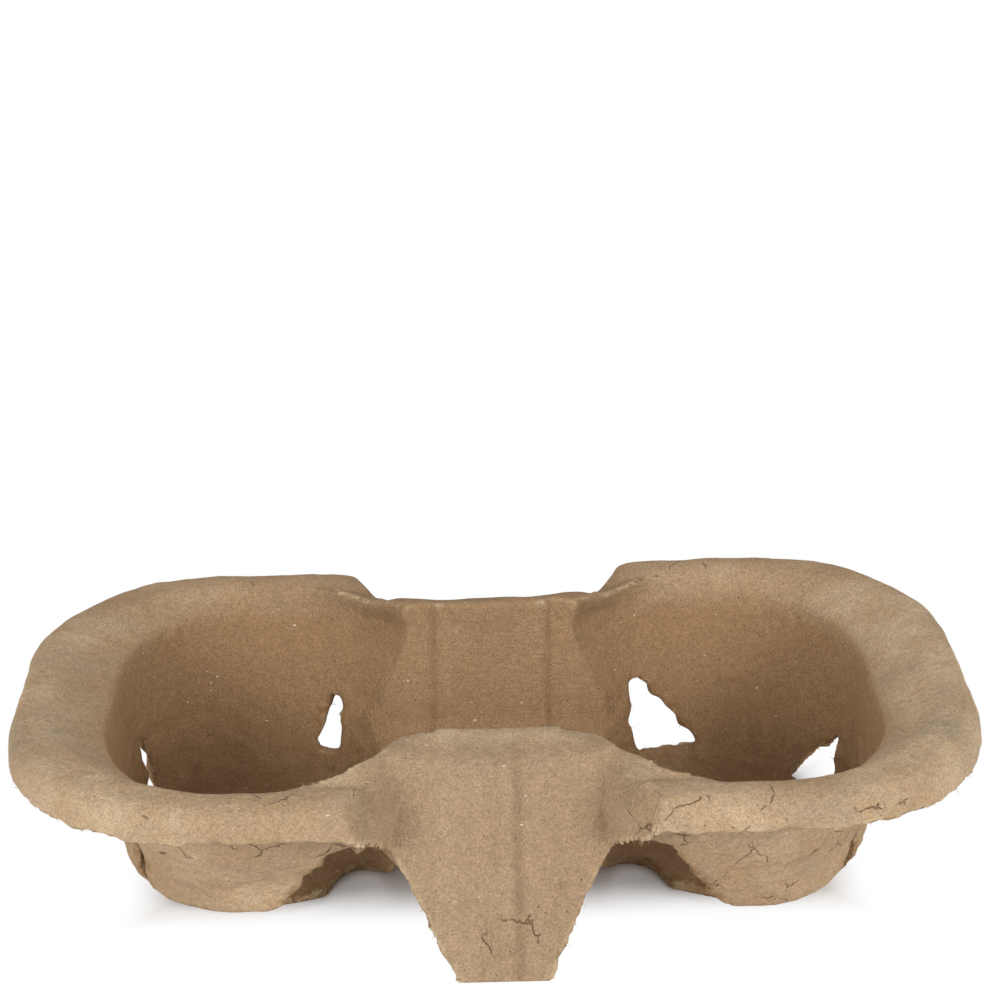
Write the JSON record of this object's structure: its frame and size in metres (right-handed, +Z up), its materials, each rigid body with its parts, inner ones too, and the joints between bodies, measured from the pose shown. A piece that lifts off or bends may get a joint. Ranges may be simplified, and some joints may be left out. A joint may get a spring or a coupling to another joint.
{
  "type": "cup carrier tray",
  "caption": "Moulded pulp carrier for take-away drinks cups, with tapered pockets, a rolled rim and a raised saddle on each long side.",
  "frame": {"origin": "centre of the footprint, on the surface that the carrier stands on", "axes": "+X along the row of cups, +Y across the carrier, +Z up"},
  "size_m": [0.21, 0.113, 0.046],
  "materials": {
    "moulded_pulp": "rough, fibrous, uncoated"
  },
  "bodies": {
    "root": {"cup_carrier": "moulded_pulp"}
  },
  "joints": []
}
